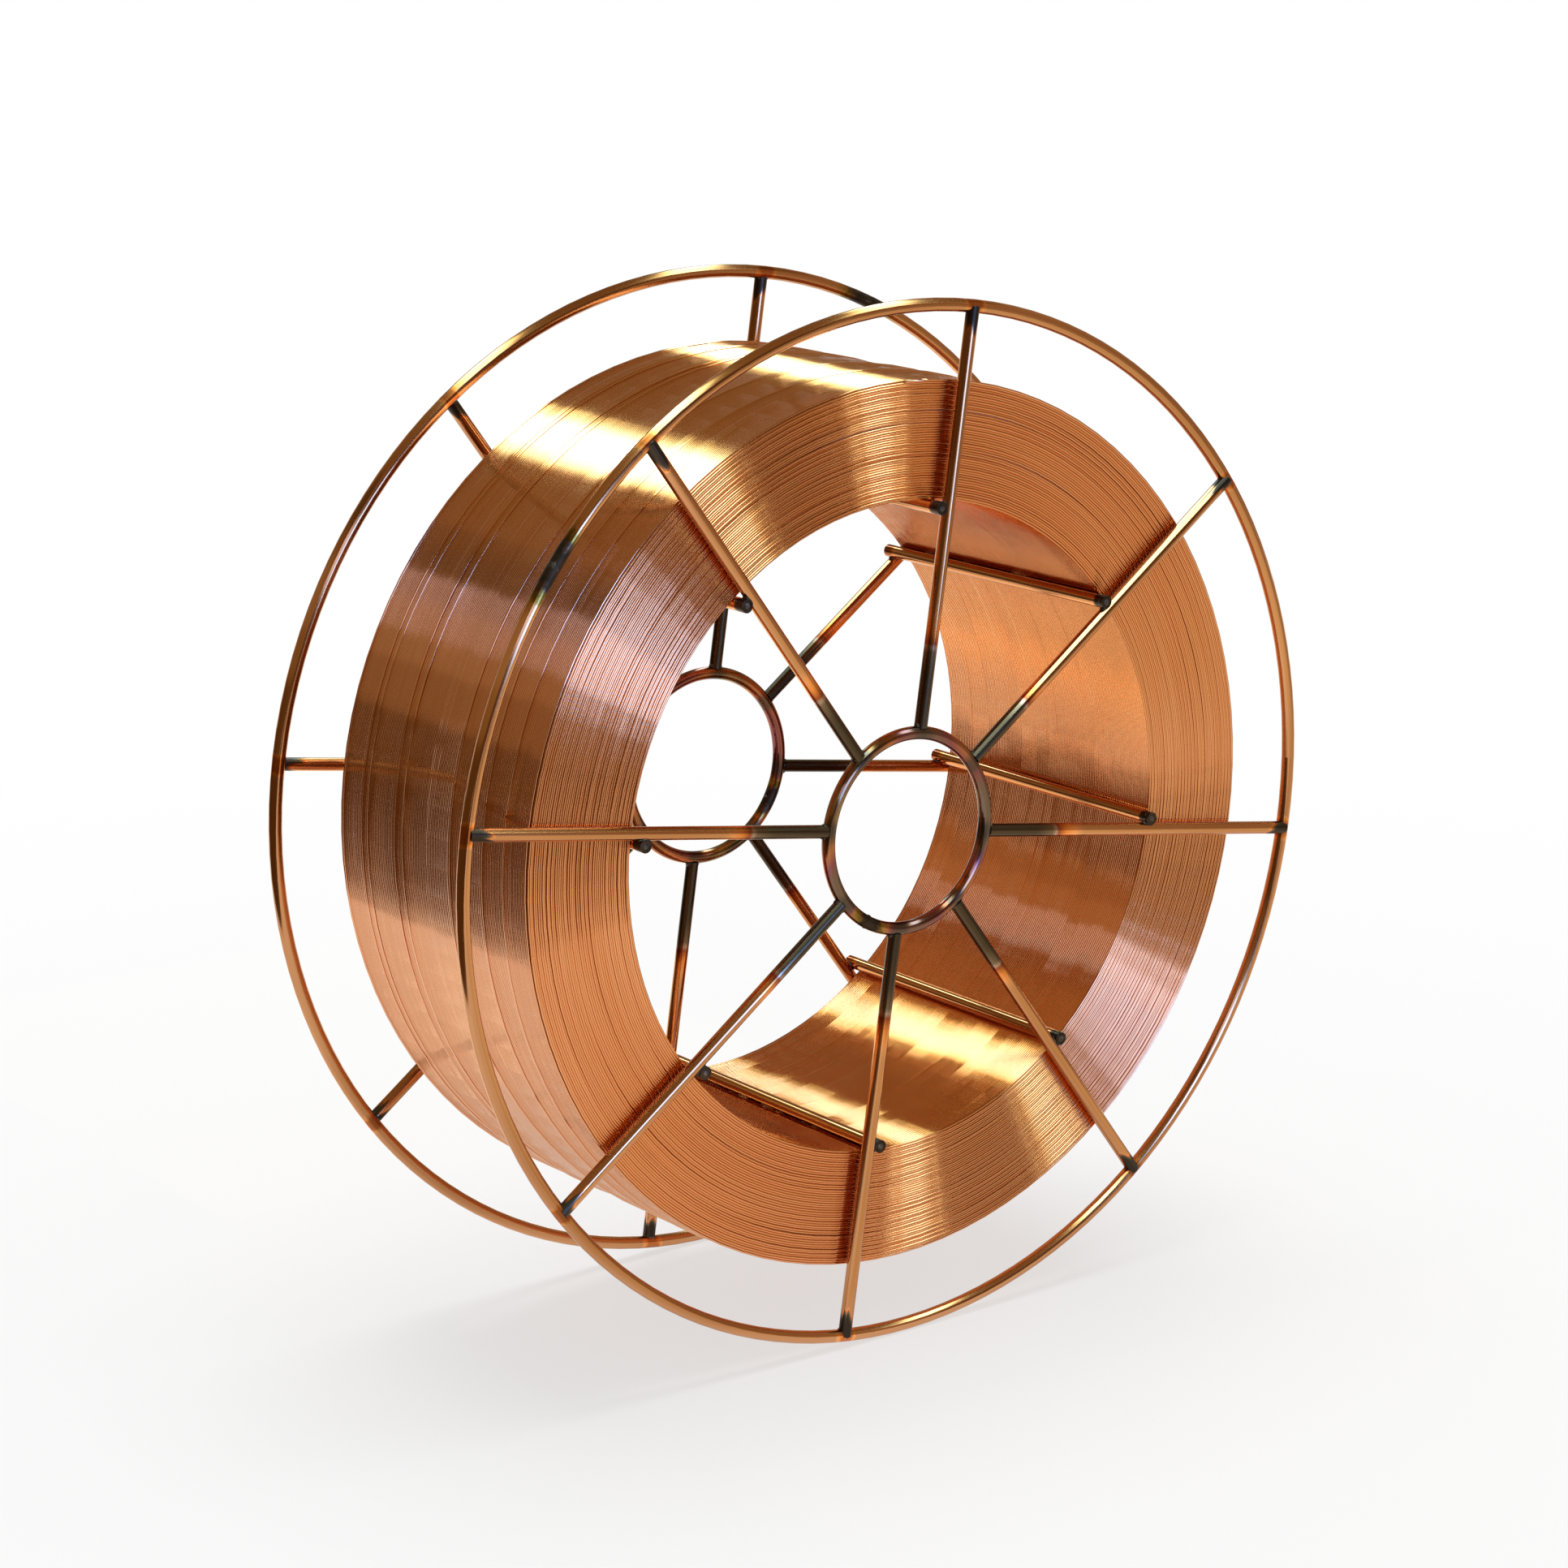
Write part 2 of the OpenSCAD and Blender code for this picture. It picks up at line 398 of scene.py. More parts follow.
# %% Group: lie_of_turns
lie_of_turns, group_in, group_out = new_group(
    "lie_of_turns", {"Groups Per Metre": "Float", "Lean": "Float"}, {"Normal": "Vector"})
tree = lie_of_turns
where = use_group(tree, round_the_axis)
groups = add_node(tree, "ShaderNodeTexVoronoi", {
    "W": where.outputs["Across"], "Scale": group_in.outputs["Groups Per Metre"]}, voronoi_dimensions="1D")
own_number = add_node(tree, "ShaderNodeSeparateColor", {0: groups.outputs["Color"]}).outputs[0]
x, y, z = add_node(tree, "ShaderNodeSeparateXYZ", {0: where.outputs["Place"]}).outputs
LEANS_PER_METRE = 6.0
NUMBERS_APART = 40.0
wander = join_xyz(tree, calc(tree, "MULTIPLY", x, LEANS_PER_METRE),
                  calc(tree, "MULTIPLY", own_number, NUMBERS_APART),
                  calc(tree, "MULTIPLY", z, LEANS_PER_METRE))
lean = swing(tree, smooth_noise(tree, wander, 1.0), group_in.outputs["Lean"])
against_x = calc(tree, "MULTIPLY", x, -1.0)
along_wire = join_xyz(tree, x=calc(tree, "DIVIDE", z, where.outputs["Radius"]),
                      z=calc(tree, "DIVIDE", against_x, where.outputs["Radius"]))
leant = vector_calc(tree, "MULTIPLY_ADD", along_wire, join_xyz(tree, lean, lean, lean),
                    add_node(tree, "ShaderNodeNewGeometry").outputs["Normal"])
put_out(tree, group_out, {"Normal": vector_calc(tree, "NORMALIZE", leant)})

# %% [markdown]
# ## Finish: the wound wire
#
# Every turn of the winding is the same bright wire. One turn may be a touch darker than the next, so the
# noise runs round the axis with the wire and changes from turn to turn. On the two sides the wire is bent
# back sharply from layer to layer, which scuffs its coat, so it is a little duller and redder there. The
# loose last turns never had a turn pulled tight over them, so they are glossier. Their copper is also
# painted paler than the rest: a painted highlight that makes their thin lines shine brighter.


# %% Materials of the winding
def ring_across(tree, where):
    """The place across a wire that runs round the axis."""
    return join_xyz(tree, where.outputs["Radius"], where.outputs["Across"])


def wound_wire_material(name, dark, pale, roughness, tone_spread, groups_per_metre, lean):
    material, tree, shader = new_material(name)
    where = use_group(tree, round_the_axis)
    finish = use_group(tree, drawn_copper, {
        "Across Wire": ring_across(tree, where), "Dark": (*dark, 1), "Pale": (*pale, 1),
        "Tone Spread": tone_spread, "Roughness": roughness})
    tree.links.new(finish.outputs["Color"], shader.inputs["Base Color"])
    tree.links.new(finish.outputs["Roughness"], shader.inputs["Roughness"])
    lie = use_group(tree, lie_of_turns, {"Groups Per Metre": groups_per_metre, "Lean": lean})
    tree.links.new(lie.outputs["Normal"], shader.inputs["Normal"])
    count_nodes(name, tree)
    return material


wound_wire = wound_wire_material("wound_wire", (0.75, 0.32, 0.15), (0.87, 0.47, 0.26), 0.09, 1.2, 190, 0.02)
# The loose turns' paler copper is a painted highlight that brightens their lines; the lower roughness is real
# gloss.
top_wire_painted_bright = wound_wire_material("top_wire_painted_bright", (0.78, 0.36, 0.18), (0.90, 0.53, 0.32), 0.07, 1.0, 190, 0.0)
inner_wire = wound_wire_material("inner_wire", (0.89, 0.36, 0.13), (0.98, 0.49, 0.22), 0.08, 0.9, 170, 0.06)
side_wire = wound_wire_material("side_wire", (0.74, 0.28, 0.10), (0.87, 0.42, 0.20), 0.13, 1.3, 900, 0.02)
deep_wire = wound_wire_material("deep_wire", (0.70, 0.28, 0.12), (0.80, 0.38, 0.18), 0.45, 1.0, 190, 0.0)

# %% [markdown]
# ## Finish: the cage
#
# Rims, hub rings, spokes and cross bars are the same copper wire with different burns. A rim is scorched
# for a few millimetres at each spoke, and burnt black at its own butt weld. A hub ring got so much heat
# from its eight joints that its whole coat turned brown, gold and purple. A spoke is burnt from the hub
# ring out to about a fifth of its length, and again at the rim. A bar is burnt only at its two ends.


# %% Material maker for the cage
def bump_on(tree, shader, height, distance, strength):
    bump = add_node(tree, "ShaderNodeBump", {"Height": height, "Distance": distance, "Strength": strength})
    tree.links.new(bump.outputs["Normal"], shader.inputs["Normal"])


CAGE_DARK = (0.42, 0.17, 0.06)
CAGE_PALE = (0.78, 0.38, 0.17)
CAGE_ROUGHNESS = 0.13


def cage_material(name, heat_of, across_of, copper_of=None, butt_of=None):
    """A cage finish. Each function that ends in _of builds one of its inputs in a tree."""
    material, tree, shader = new_material(name)
    where = use_group(tree, round_the_axis)
    finish = use_group(tree, drawn_copper, {
        "Across Wire": across_of(tree, where), "Dark": (*CAGE_DARK, 1), "Pale": (*CAGE_PALE, 1),
        "Tone Spread": 2.0, "Roughness": CAGE_ROUGHNESS})
    copper = copper_of(tree, where) if copper_of else finish.outputs["Color"]
    burnt = use_group(tree, heat_tint, {
        "Copper": copper, "Roughness": finish.outputs["Roughness"], "Uneven": finish.outputs["Uneven"],
        "Heat": heat_of(tree, where) if heat_of else 0.0})
    if butt_of:
        burnt = use_group(tree, butt_burn, {
            "Color": burnt.outputs["Color"], "Roughness": burnt.outputs["Roughness"],
            "Distance": butt_of(tree, where)})
    tree.links.new(burnt.outputs["Color"], shader.inputs["Base Color"])
    tree.links.new(burnt.outputs["Roughness"], shader.inputs["Roughness"])
    bump_on(tree, shader, finish.outputs["Height"], 0.0008 * MM, 0.5)
    count_nodes(name, tree)
    return material


def spoke_across(tree, where):
    """The place across a wire that runs straight out from the axis."""
    return join_xyz(tree, use_group(tree, nearest_spoke).outputs["Beside"], where.outputs["Across"])


def bar_across(tree, where):
    """The place across a wire that runs along the axis."""
    return join_xyz(tree, use_group(tree, nearest_spoke).outputs["Beside"], where.outputs["Radius"])


def soft_drift(tree, per_metre, detail=0.0):
    """Slow noise in space."""
    return smooth_noise(tree, object_place(tree), per_metre, detail)


# %% Materials: rim, hub ring, spoke and cross bar
def from_butt(ring_r, angle, scale):
    """Builds the distance along a ring from its butt weld, with a ragged edge."""
    def distance(tree, where):
        turned = calc(tree, "WRAP", calc(tree, "SUBTRACT", where.outputs["Angle"], angle), math.pi, -math.pi)
        ragged = swing(tree, soft_drift(tree, 380.0, 3.0), 8 * MM)
        along = calc(tree, "ADD", calc(tree, "MULTIPLY", ring_r, calc(tree, "ABSOLUTE", turned)), ragged)
        return calc(tree, "MULTIPLY", along, 1 / scale)
    return distance


def uneven_joint(tree):
    """The distance from the nearest spoke, with an uneven edge."""
    distance = use_group(tree, nearest_spoke).outputs["Distance"]
    return swing(tree, soft_drift(tree, 300.0, 1.0), 3 * MM, distance)


def rim_heat(tree, where):
    return smooth_range(tree, uneven_joint(tree), 4.5 * MM, 1.5 * MM, 0.0, 0.36)


def hub_tint(tree, where):
    """Brown, gold, orange-red and purple in soft patches, burnt dark at each spoke."""
    patches = swing(tree, soft_drift(tree, 48.0), 1.9, 0.5)
    tint = colour_ramp(tree, patches, [
        (0.0, (0.17, 0.12, 0.06)), (0.25, (0.40, 0.27, 0.10)), (0.42, (0.24, 0.12, 0.06)),
        (0.56, (0.44, 0.16, 0.06)), (0.74, (0.27, 0.09, 0.09)), (1.0, (0.20, 0.13, 0.09))])
    burnt = smooth_range(tree, uneven_joint(tree), 4.5 * MM, 1.0 * MM, 0.0, 0.8)
    return mix_colour(tree, burnt, tint, (0.085, 0.068, 0.055, 1))


SPOKE_BURNT_TO = 57 * MM
SPOKE_BURNT_AGAIN = rim_r - 8.5 * MM


def spoke_heat(tree, where):
    """Burnt from the hub ring to about SPOKE_BURNT_TO, and from SPOKE_BURNT_AGAIN to the rim."""
    reach = swing(tree, soft_drift(tree, 26.0), 12 * MM, where.outputs["Radius"])
    inner = smooth_range(tree, reach, SPOKE_BURNT_TO + 12 * MM, SPOKE_BURNT_TO - 13 * MM, 0.0, 0.76)
    streaky = stretched_noise(tree, spoke_across(tree, where), 60, 500, 1.0)
    ragged = swing(tree, streaky, 16 * MM, where.outputs["Radius"])
    outer = smooth_range(tree, ragged, SPOKE_BURNT_AGAIN, rim_r - 3 * MM)
    return calc(tree, "MAXIMUM", inner, outer)


def bar_heat(tree, where):
    """Only the front ends of the bars are burnt dark; the rear ends are just browned."""
    front_end = smooth_range(tree, where.outputs["Across"], -spoke_y + 3.2 * MM, -spoke_y + 0.6 * MM)
    rear_end = smooth_range(tree, where.outputs["Across"], spoke_y - 5 * MM, spoke_y - 1 * MM, 0.0, 0.40)
    return calc(tree, "MAXIMUM", front_end, rear_end)


RIM_BUTT = {"front": math.radians(307 - 360), "rear": math.radians(24)}
HUB_BUTT = {"front": math.radians(211 - 360), "rear": math.radians(120)}
rim_copper = {
    side: cage_material(f"{side}_rim_copper", rim_heat, ring_across, butt_of=from_butt(rim_r, butt, 1.0))
    for side, butt in RIM_BUTT.items()}
hub_copper = {
    side: cage_material(f"{side}_hub_copper", None, ring_across, hub_tint, from_butt(hub_r, butt, 0.55))
    for side, butt in HUB_BUTT.items()}
spoke_copper = cage_material("spoke_copper", spoke_heat, spoke_across)
bar_copper = cage_material("bar_copper", bar_heat, bar_across)


# %% Give the cage its finishes
def refinish(node_name, material):
    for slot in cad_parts[node_name].material_slots:
        slot.material = material


for side in SIDES:
    refinish(f"{side}_rim", rim_copper[side])
    refinish(f"{side}_hub_ring", hub_copper[side])
    for k in range(1, SPOKES + 1):
        refinish(f"{side}_spoke_{k}", spoke_copper)
for k in range(1, SPOKES + 1):
    refinish(f"cross_bar_{k}", bar_copper)
print("finished", len(SIDES) * (2 + SPOKES) + SPOKES, "pieces of the cage")

# %% [markdown]
# ## Helpers for meshes
#
# Round wires are circles that bmesh spins about the axis. A closed ring is a full spin whose last step
# meets its first, so use_merge closes it. A layer of the winding is a spin that also moves along the axis,
# copied turn after turn and joined end to end. Neighbouring turns touch, and if their sides were merged
# too, each would lose its round shading. So only points within a thousandth of a millimetre are joined.


# %% Turn a bmesh into a piece that rides on the spool
def new_piece(bm, name, material):
    """Makes the bmesh an object at the origin."""
    mesh = bpy.data.meshes.new(name)
    bm.to_mesh(mesh)
    bm.free()
    mesh.materials.append(material)
    piece = bpy.data.objects.new(name, mesh)
    bpy.context.scene.collection.objects.link(piece)
    return piece


def corner_numbers(part):
    return sorted(vert.index for vert in part.verts)


def put_in_order(bm):
    """Sorts the bmesh by place, because spin lists what it makes in another order each time."""
    for parts, rank in ((bm.verts, lambda vert: vert.co[:]), (bm.edges, corner_numbers),
                        (bm.faces, corner_numbers)):
        for number, part in enumerate(sorted(parts, key=rank)):
            part.index = number
        parts.sort()


def finish_piece(bm, name, material, smooth=True):
    """Makes the bmesh a piece that rides on the spool."""
    put_in_order(bm)
    bmesh.ops.recalc_face_normals(bm, faces=bm.faces)
    for face in bm.faces:
        face.smooth = smooth
    piece = new_piece(bm, name, material)
    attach(piece, "root")
    print(f"{name}: {sum(len(face.vertices) - 2 for face in piece.data.polygons)} triangles")
    return piece


def wire_section(wire_r, sides, y, r):
    """A bmesh with a circle across a wire that runs round the axis, and all that spin has to turn.
    The circle lies straight up from the axis at radius r."""
    bm = bmesh.new()
    bmesh.ops.create_circle(bm, segments=sides, radius=wire_r)
    bmesh.ops.rotate(bm, verts=bm.verts, cent=(0, 0, 0), matrix=Matrix.Rotation(math.pi / 2, 3, "Y"))
    bmesh.ops.translate(bm, verts=bm.verts, vec=(0, y, r))
    return bm, bm.verts[:] + bm.edges[:]


def append_mesh(bm, part):
    """Adds a small bmesh to a big one, which is much faster than making it there."""
    mesh = bpy.data.meshes.new("part")
    part.to_mesh(mesh)
    bm.from_mesh(mesh)
    bpy.data.meshes.remove(mesh)


def closed_turn(wire_r, sides, steps, y, r):
    """One closed turn of wire round the axis, as a bmesh of its own."""
    part, section = wire_section(wire_r, sides, y, r)
    bmesh.ops.spin(part, geom=section, cent=(0, 0, 0), axis=(0, 1, 0), angle=2 * math.pi, steps=steps,
                   use_merge=True)
    return part


JOIN_WITHIN = 0.001 * MM


def wound_coil(wire_r, sides, steps, turns, pitch, y, r):
    """A helix of wire round the axis from y on, closed at both ends."""
    bm = bmesh.new()
    turn, section = wire_section(wire_r, sides, y, r)
    bmesh.ops.spin(turn, geom=section, cent=(0, 0, 0), axis=(0, 1, 0), dvec=(0, pitch / steps, 0),
                   angle=2 * math.pi, steps=steps)
    for _ in range(turns):
        append_mesh(bm, turn)
        bmesh.ops.translate(turn, verts=turn.verts, vec=(0, pitch, 0))
    turn.free()
    bmesh.ops.remove_doubles(bm, verts=bm.verts, dist=JOIN_WITHIN)
    bmesh.ops.holes_fill(bm, edges=[edge for edge in bm.edges if edge.is_boundary], sides=sides)
    return bm


def move_round_axis(vert, outwards, along=0.0):
    """Moves a vertex straight away from the axis and along it."""
    grown = 1 + outwards / math.hypot(vert.co.x, vert.co.z)
    vert.co = (vert.co.x * grown, vert.co.y + along, vert.co.z * grown)


# %% [markdown]
# ## The winding's layers
#
# The wire is 0.8 mm thick. Laid side by side it makes 116 turns across the width. A layer rests in the
# grooves of the one below, so two layers make one step outwards, and every other layer ends half a wire
# short of the flange. That is why the side of the winding shows 25 ridges and not 50.

# %% Sizes of the winding
WIRE_R = 0.4 * MM
LAYER_PAIR = 1.345 * MM
RIDGES = 25
SIDES_OF_WIRE = 6
SIDES_OF_LOOSE_WIRE = 8
STEPS = 96
outer_layer_r = winding_out_r - WIRE_R
inner_layer_r = bar_circle_r + WIRE_R
outer_half_w = winding_half_w - WIRE_R
turns_out = round(outer_half_w / WIRE_R) + 1
turns_in = turns_out - 1
outer_pitch = 2 * outer_half_w / turns_out
print(f"{turns_out} turns in the outer layer, {turns_in} in the inner one")

# %% [markdown]
# ## Groups of turns
#
# What the finish does with the normal, the mesh does with its shape: a few turns at a time lie a little
# higher or lower. So the layers are wound first, and then each group of turns is moved in and out by
# smooth noise of its own. The dice are seeded, so the winding comes out the same each time.


# %% Helper: groups of turns that lie alike
def group_edges(seed, narrowest, widest):
    """Where each group of turns starts, from one side of the winding to the other."""
    dice = random.Random(seed)
    edges = [-winding_half_w]
    while edges[-1] < winding_half_w:
        edges.append(edges[-1] + dice.uniform(narrowest, widest))
    return edges


def group_number(edges, y):
    """The number of the group that y lies in. It slides to the next number in the width of a wire."""
    number = max(1, bisect.bisect_right(edges, y))
    into = min(1.0, (y - edges[number - 1]) / (2 * WIRE_R))
    return number + into * into * (3 - 2 * into)


WAVES_PER_METRE = 12


def settle(edges, place, depth):
    """How far a turn lies outwards at a place."""
    at = (place.x * WAVES_PER_METRE, 6.3 * group_number(edges, place.y), place.z * WAVES_PER_METRE)
    return depth * noise.noise(at)


# %% Wind the innermost and the outermost layer
OUTER_GROUPS = group_edges(5, 2.5 * MM, 9 * MM)
INNER_GROUPS = group_edges(8, 3 * MM, 9 * MM)


def outer_settle(place):
    return settle(OUTER_GROUPS, place, depth=0.05 * MM)


outer_bm = wound_coil(WIRE_R, SIDES_OF_WIRE, STEPS, turns_out, outer_pitch, -outer_half_w, outer_layer_r)
for vert in outer_bm.verts:
    move_round_axis(vert, outer_settle(vert.co))
outer_layer = finish_piece(outer_bm, "outer_layer", wound_wire)

inner_half_w = outer_half_w - WIRE_R
inner_bm = wound_coil(WIRE_R, SIDES_OF_WIRE, STEPS, turns_in, 2 * inner_half_w / turns_in, -inner_half_w,
                      inner_layer_r)
for vert in inner_bm.verts:
    move_round_axis(vert, settle(INNER_GROUPS, vert.co, depth=0.06 * MM))
finish_piece(inner_bm, "inner_layer", inner_wire)

# %% [markdown]
# ## The winding's two sides
#
# At the flanges each layer turns back, and its last turn shows as a ridge. These turns are held by nothing
# but their own pull, so they wander a little. In places two neighbours part and leave a dark gap. The gaps
# are a short list given one by one; smooth noise does the rest.

# %% Gaps between side turns
GAPS = [  # angle clockwise from the top in degrees, radius in mm, half width in degrees, opening in mm
    (318, 109.5, 8, 0.42), (352, 115.5, 9, 0.45), (300, 108, 11, 0.36), (284, 112.5, 12, 0.30),
    (12, 119, 12, 0.34), (26, 108, 13, 0.26), (38, 123, 16, 0.24), (70, 116, 18, 0.20),
    (215, 102, 16, 0.24), (196, 119, 14, 0.24), (232, 113, 18, 0.22), (160, 121, 15, 0.18)]
GAP_FADES_IN = 3.5  # mm
print(len(GAPS), "gaps between side turns")


def side_stray(angle, r, number):
    """How far a side turn strays outwards at an angle."""
    stray = 0.11 * MM * noise.noise((2.1 * math.sin(angle), 2.1 * math.cos(angle), 3.7 * number))
    for gap_angle, gap_r, half_width, opening in GAPS:
        turned = (math.degrees(angle) - gap_angle + 180) % 360 - 180
        beside = r / MM - gap_r
        share = math.exp(-(turned / half_width) ** 2) * math.exp(-abs(beside) / GAP_FADES_IN)
        stray += math.copysign(opening / 2 * share * MM, beside)
    return stray


LEAST_EVEN = math.radians(305)


def side_sink(angle, number):
    """How far a side turn lies back from the flange at an angle. They vary most at the upper left."""
    uneven = 0.07 + 0.10 * max(0.0, math.cos(angle - LEAST_EVEN))
    return 2 * uneven * MM * (0.5 + noise.noise((1.6 * math.sin(angle), 9.1 * number, 1.6 * math.cos(angle))))


# %% Lay the turns that show on the winding's two sides
SUNK = 0.11 * MM


def side_turns(side):
    """The ridges and the sunk turns between them, as closed turns."""
    bm = bmesh.new()
    for number in range(1, 2 * RIDGES):
        turn_r = outer_layer_r - number * LAYER_PAIR / 2
        back = SUNK if number % 2 else 0.0
        turn = closed_turn(WIRE_R, SIDES_OF_WIRE, STEPS, side * (outer_half_w - back), turn_r)
        for vert in turn.verts:
            angle = math.atan2(vert.co.x, vert.co.z)
            stray = side_stray(angle, turn_r, number + 60 * side)
            move_round_axis(vert, stray, -side * side_sink(angle, number + 60 * side))
        append_mesh(bm, turn)
        turn.free()
    return bm


for side, sign in SIDES.items():
    finish_piece(side_turns(sign), f"{side}_side_turns", side_wire)


# %% Fill the winding behind its visible turns
CORE_INSET = 2.4 * WIRE_R


def packed_core():
    """A ring that stands for the hidden turns, just under the visible ones."""
    bm = bmesh.new()
    half_w = winding_half_w - CORE_INSET
    corners = [(-half_w, inner_layer_r + WIRE_R), (half_w, inner_layer_r + WIRE_R),
               (half_w, outer_layer_r - WIRE_R), (-half_w, outer_layer_r - WIRE_R)]
    verts = [bm.verts.new((0, y, r)) for y, r in corners]
    edges = [bm.edges.new((verts[i], verts[(i + 1) % 4])) for i in range(4)]
    bmesh.ops.spin(bm, geom=verts + edges, cent=(0, 0, 0), axis=(0, 1, 0), angle=2 * math.pi,
                   steps=STEPS, use_merge=True)
    return bm


core = finish_piece(packed_core(), "packed_core", deep_wire, smooth=False)
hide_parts("wire_pack")
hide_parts("wire_outer_turns")

# %% [markdown]
# ## The loose last turns
#
# The last few metres of wire lie on top of the outer layer with wide spaces between them, because the
# layer was never finished. It is one wire: it runs nearly straight round the left of the spool and shifts
# sideways to its next place on the right. It is wound as an even coil first. Then every vertex is moved to
# where the wire really runs, and its height follows the grooves of the layer below. Both ends are tucked
# in. Angles are in degrees clockwise from the top, and each pair says where across the width, in
# millimetres, a turn's straight run starts and ends.

# %% Where the loose wire lies
LOOSE_TURNS = [(46.4, 46.6), (36.3, 36.1), (32.6, 34.4), (17.6, 21.4), (13.0, 18.4), (-8.8, -9.2),
               (-24.8, -25.2), (-35.2, -34.8)]
STRAIGHT_FROM = 202
STRAIGHT_FOR = 180
LOOSE_PITCH = 3 * MM
PRESSED_IN = 0.40 * MM
TUCKED_OVER = 40
TUCK_DEPTH = 2.3 * WIRE_R
print(len(LOOSE_TURNS), "loose turns")


def loose_y(degrees):
    """Where the loose wire lies across the width after so many degrees from the top."""
    number, into = divmod(degrees - STRAIGHT_FROM, 360)
    number = int(number)
    start, end = LOOSE_TURNS[max(0, min(number, len(LOOSE_TURNS) - 1))]
    if number < 0 or number >= len(LOOSE_TURNS):
        return start * MM
    if into < STRAIGHT_FOR:
        return (start + (end - start) * into / STRAIGHT_FOR) * MM
    following = LOOSE_TURNS[min(number + 1, len(LOOSE_TURNS) - 1)][0]
    shifted = (into - STRAIGHT_FOR) / (360 - STRAIGHT_FOR)
    return (end + (following - end) * shifted * shifted * (3 - 2 * shifted)) * MM


def loose_height(y, degrees):
    """How high the loose wire's middle lies over the middle of the outer layer's wires."""
    turns = (y + outer_half_w) / outer_pitch - degrees / 360
    off_groove = (turns - round(turns)) * outer_pitch
    return math.sqrt((2 * WIRE_R) ** 2 - off_groove ** 2)


# %% Wind the loose wire
loose_bm = wound_coil(WIRE_R, SIDES_OF_LOOSE_WIRE, STEPS, len(LOOSE_TURNS), LOOSE_PITCH, 0, outer_layer_r)
loose_end = 360 * len(LOOSE_TURNS)
for vert in loose_bm.verts:
    angle = math.atan2(vert.co.x, vert.co.z) % (2 * math.pi)
    whole = round(vert.co.y / LOOSE_PITCH - angle / (2 * math.pi))
    degrees = 360 * whole + math.degrees(angle)
    y = loose_y(degrees)
    tucked = max(0.0, 1 - degrees / TUCKED_OVER, 1 - (loose_end - degrees) / TUCKED_OVER)
    height = loose_height(y, degrees) - PRESSED_IN - TUCK_DEPTH * tucked + outer_settle(vert.co)
    move_round_axis(vert, height, y - LOOSE_PITCH * degrees / 360)
finish_piece(loose_bm, "loose_wire", top_wire_painted_bright)

# %% [markdown]
# ## The welds
#
# A resistance weld leaves a small dark lump of melted metal: one over the end of each spoke on the rim, one
# where each spoke meets the hub ring, and one between each cross bar and its spoke. A ring's own butt weld
# swells it a little. Each lump is an icosphere, pulled to size and pushed about by noise.

# %% Material: weld_metal
weld_metal, tree, shader = new_material("weld_metal")
lumps = soft_drift(tree, 900.0, 3.0)
fleck = smooth_range(tree, soft_drift(tree, 420.0, 1.0), 0.48, 0.66)
dark = colour_ramp(tree, lumps, [(0.3, (0.050, 0.036, 0.026)), (0.7, (0.13, 0.098, 0.072))])
tree.links.new(mix_colour(tree, fleck, dark, (0.20, 0.155, 0.115, 1)), shader.inputs["Base Color"])
tree.links.new(calc(tree, "MULTIPLY_ADD", lumps, 0.3, 0.36), shader.inputs["Roughness"])
bump_on(tree, shader, lumps, 0.10 * MM, 0.8)
count_nodes("weld_metal", tree)


# %% Make the welds
def weld_lump(bm, angle, r, beside, y, size, lumpy=0.14):
    """A lump of melted metal. size is its half width round the axis, out from the axis and along it."""
    made = bmesh.ops.create_icosphere(bm, subdivisions=3, radius=1)
    for vert in made["verts"]:
        vert.co *= 1 + lumpy * noise.noise(vert.co * 1.6 + Vector((9 * angle, 400 * r, 300 * y)))
    bmesh.ops.scale(bm, verts=made["verts"], vec=(size[0], size[2], size[1]))
    bmesh.ops.translate(bm, verts=made["verts"], vec=(beside, y, r))
    bmesh.ops.rotate(bm, verts=made["verts"], cent=(0, 0, 0), matrix=Matrix.Rotation(angle, 3, "Y"))


bar_out = bar_middle.dot(spoke_direction)
bar_beside = -math.sqrt(bar_middle.length ** 2 - bar_out ** 2)
spoke_angles = [spoke_turn + k * 2 * math.pi / SPOKES for k in range(SPOKES)]


def side_welds(side, sign):
    """The welds of one flange: on its rim, on its hub ring and at its cross bars."""
    rim_welds, hub_welds, bar_welds = bmesh.new(), bmesh.new(), bmesh.new()
    for angle in spoke_angles:
        weld_lump(rim_welds, angle, rim_r - 0.9 * MM, 0, sign * (spoke_y - 0.25 * MM),
                  (2.15 * MM, 2.1 * MM, 1.85 * MM))
        weld_lump(hub_welds, angle, hub_r + cage_wire_r, 0, sign * spoke_y, (2.3 * MM, 1.5 * MM, 1.5 * MM))
        weld_lump(bar_welds, angle, bar_out, bar_beside / 2, sign * spoke_y, (1.0 * MM, 2.2 * MM, 1.5 * MM))
        if sign < 0:
            weld_lump(bar_welds, angle, bar_out, bar_beside, -(cad_high.y - 1.5 * MM),
                      (1.93 * MM, 1.93 * MM, 1.35 * MM), 0.07)
    weld_lump(rim_welds, RIM_BUTT[side], rim_r, 0, sign * rim_y, (4.5 * MM, 1.93 * MM, 1.93 * MM), 0.08)
    weld_lump(hub_welds, HUB_BUTT[side], hub_r, 0, sign * spoke_y, (1.6 * MM, 2.05 * MM, 1.6 * MM))
    for bm, place in ((rim_welds, "rim"), (hub_welds, "hub"), (bar_welds, "bar")):
        finish_piece(bm, f"{side}_{place}_welds", weld_metal)


for side, sign in SIDES.items():
    side_welds(side, sign)

